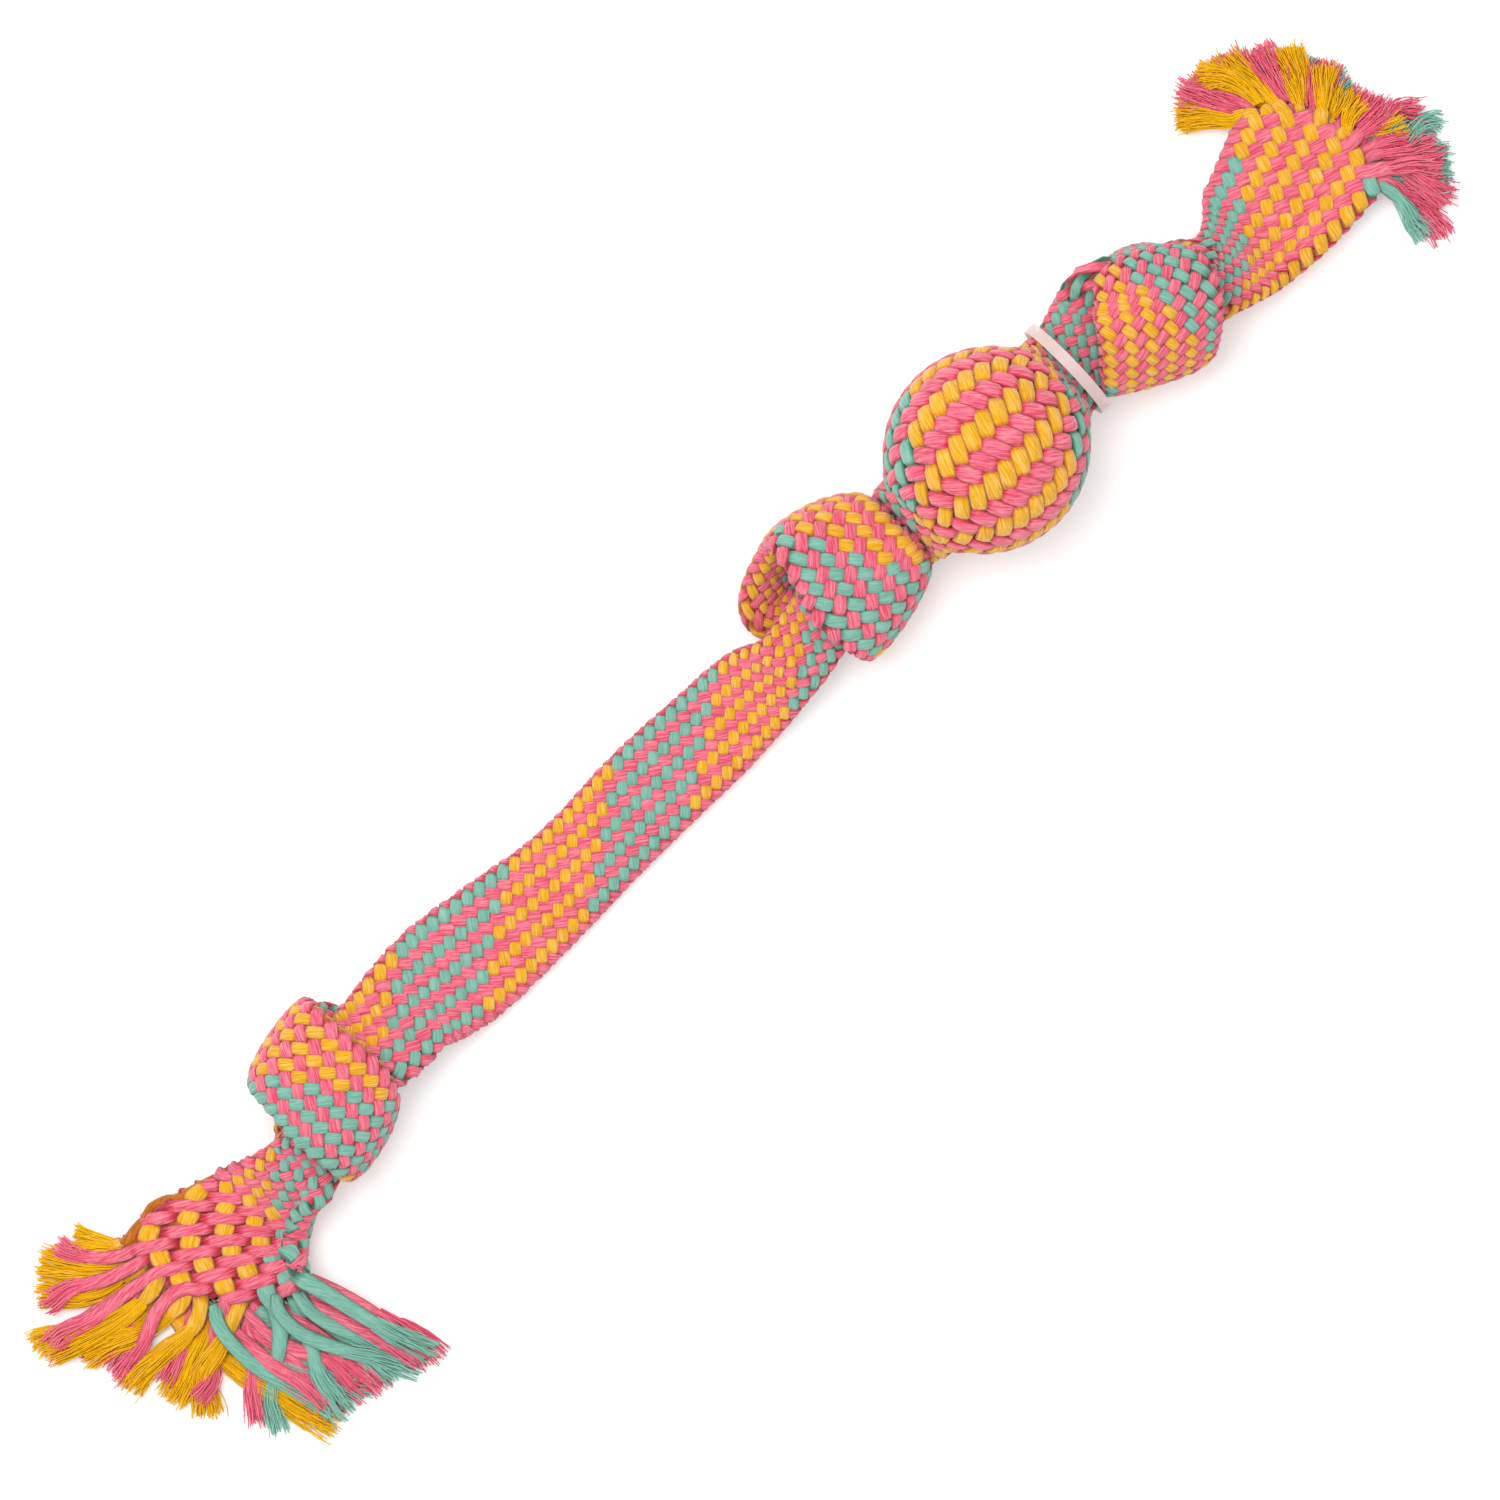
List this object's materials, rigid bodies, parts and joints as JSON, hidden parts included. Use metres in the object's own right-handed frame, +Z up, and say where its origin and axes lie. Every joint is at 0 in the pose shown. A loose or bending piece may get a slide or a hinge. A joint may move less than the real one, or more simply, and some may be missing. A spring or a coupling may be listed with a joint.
{
  "type": "rope dog toy",
  "caption": "Tug toy of a flattened cotton braid tied in overhand knots, with a ball wrapped in the braid and frayed, splayed strands at both ends.",
  "frame": {"origin": "on the floor under the middle of the flat stretch of braid between the first and second knots", "axes": "+X along the toy towards the knot with the ball, +Y to the left of it, +Z up from the floor"},
  "size_m": [0.6199, 0.1266, 0.068],
  "materials": {
    "cotton_braid": "plied cotton, matt",
    "cotton_pink": "plied cotton, matt",
    "cotton_yellow": "plied cotton, matt",
    "cotton_teal": "plied cotton, matt",
    "core_rubber": "moulded, satin",
    "band_clear": "clear, satin"
  },
  "bodies": {
    "lower_fringe": {"lower_flare": "cotton_braid", "lower_strand_01": "cotton_pink", "lower_strand_02": "cotton_teal", "lower_strand_03": "cotton_pink", "lower_strand_04": "cotton_teal", "lower_strand_05": "cotton_pink", "lower_strand_06": "cotton_teal", "lower_strand_07": "cotton_yellow", "lower_strand_08": "cotton_yellow", "lower_strand_09": "cotton_pink", "lower_strand_10": "cotton_yellow", "lower_strand_11": "cotton_pink", "lower_strand_12": "cotton_yellow", "lower_strand_13": "cotton_pink", "lower_strand_14": "cotton_yellow", "lower_strand_15": "cotton_pink", "lower_strand_16": "cotton_yellow", "lower_strand_17": "cotton_yellow", "lower_strand_18": "cotton_pink", "lower_strand_19": "cotton_pink"},
    "lower_tail": {"lower_tail": "cotton_braid"},
    "knot_1": {"knot_1": "cotton_braid"},
    "flat_1": {"flat_1": "cotton_braid"},
    "flat_2": {"flat_2": "cotton_braid"},
    "flat_3": {"flat_3": "cotton_braid"},
    "flat_4": {"flat_4": "cotton_braid"},
    "flat_5": {"flat_5": "cotton_braid"},
    "knot_2": {"knot_2": "cotton_braid"},
    "ball": {"ball_sleeve": "cotton_braid", "ball_core": "core_rubber"},
    "knot_3": {"knot_3": "cotton_braid", "neck_band": "band_clear"},
    "upper_tail": {"upper_tail": "cotton_braid"},
    "upper_fringe": {"upper_flare": "cotton_braid", "upper_strand_01": "cotton_teal", "upper_strand_02": "cotton_teal", "upper_strand_03": "cotton_pink", "upper_strand_04": "cotton_yellow", "upper_strand_05": "cotton_pink", "upper_strand_06": "cotton_yellow", "upper_strand_07": "cotton_pink", "upper_strand_08": "cotton_yellow", "upper_strand_09": "cotton_pink", "upper_strand_10": "cotton_yellow", "upper_strand_11": "cotton_pink", "upper_strand_12": "cotton_yellow", "upper_strand_13": "cotton_pink", "upper_strand_14": "cotton_yellow", "upper_strand_15": "cotton_yellow", "upper_strand_16": "cotton_pink"}
  },
  "joints": [
    {"name": "flat_2_bend", "type": "hinge", "parent": "flat_3", "child": "flat_2", "pos_m": [-0.0175, -0.0004, 0.00425], "axis": [0, 1, 0], "range_deg": [-35, 35]},
    {"name": "flat_1_bend", "type": "hinge", "parent": "flat_2", "child": "flat_1", "pos_m": [-0.0525, 0.0017, 0.00425], "axis": [0, -1, 0], "range_deg": [-35, 35]},
    {"name": "knot_1_bend", "type": "hinge", "parent": "flat_1", "child": "knot_1", "pos_m": [-0.0875, 0.0045, 0.017], "axis": [-0.2272, 0.9738, 0], "range_deg": [-20, 25]},
    {"name": "lower_tail_bend", "type": "hinge", "parent": "knot_1", "child": "lower_tail", "pos_m": [-0.1475, -0.0095, 0.017], "axis": [0.2272, -0.9738, 0], "range_deg": [-25, 20]},
    {"name": "lower_fringe_bend", "type": "hinge", "parent": "lower_tail", "child": "lower_fringe", "pos_m": [-0.166, -0.0125, 0.00425], "axis": [-0.309, 0.9511, 0], "range_deg": [-30, 30]},
    {"name": "flat_4_bend", "type": "hinge", "parent": "flat_3", "child": "flat_4", "pos_m": [0.0175, 0.0008, 0.00425], "axis": [0, -1, 0], "range_deg": [-35, 35]},
    {"name": "flat_5_bend", "type": "hinge", "parent": "flat_4", "child": "flat_5", "pos_m": [0.0525, 0.0005, 0.00425], "axis": [0, 1, 0], "range_deg": [-35, 35]},
    {"name": "knot_2_bend", "type": "hinge", "parent": "flat_5", "child": "knot_2", "pos_m": [0.0875, -0.001, 0.017], "axis": [0.0995, -0.995, 0], "range_deg": [-25, 25]},
    {"name": "ball_bend", "type": "hinge", "parent": "knot_2", "child": "ball", "pos_m": [0.1475, 0.005, 0.0205], "axis": [-0.0995, 0.995, 0], "range_deg": [-20, 20]},
    {"name": "knot_3_bend", "type": "hinge", "parent": "ball", "child": "knot_3", "pos_m": [0.219, 0.0065, 0.0205], "axis": [-0.204, -0.979, 0], "range_deg": [-20, 10]},
    {"name": "upper_tail_bend", "type": "hinge", "parent": "knot_3", "child": "upper_tail", "pos_m": [0.279, -0.006, 0.017], "axis": [0.204, 0.979, 0], "range_deg": [-25, 20]},
    {"name": "upper_fringe_bend", "type": "hinge", "parent": "upper_tail", "child": "upper_fringe", "pos_m": [0.3, -0.0052, 0.00425], "axis": [0.1045, -0.9945, 0], "range_deg": [-30, 30]}
  ]
}
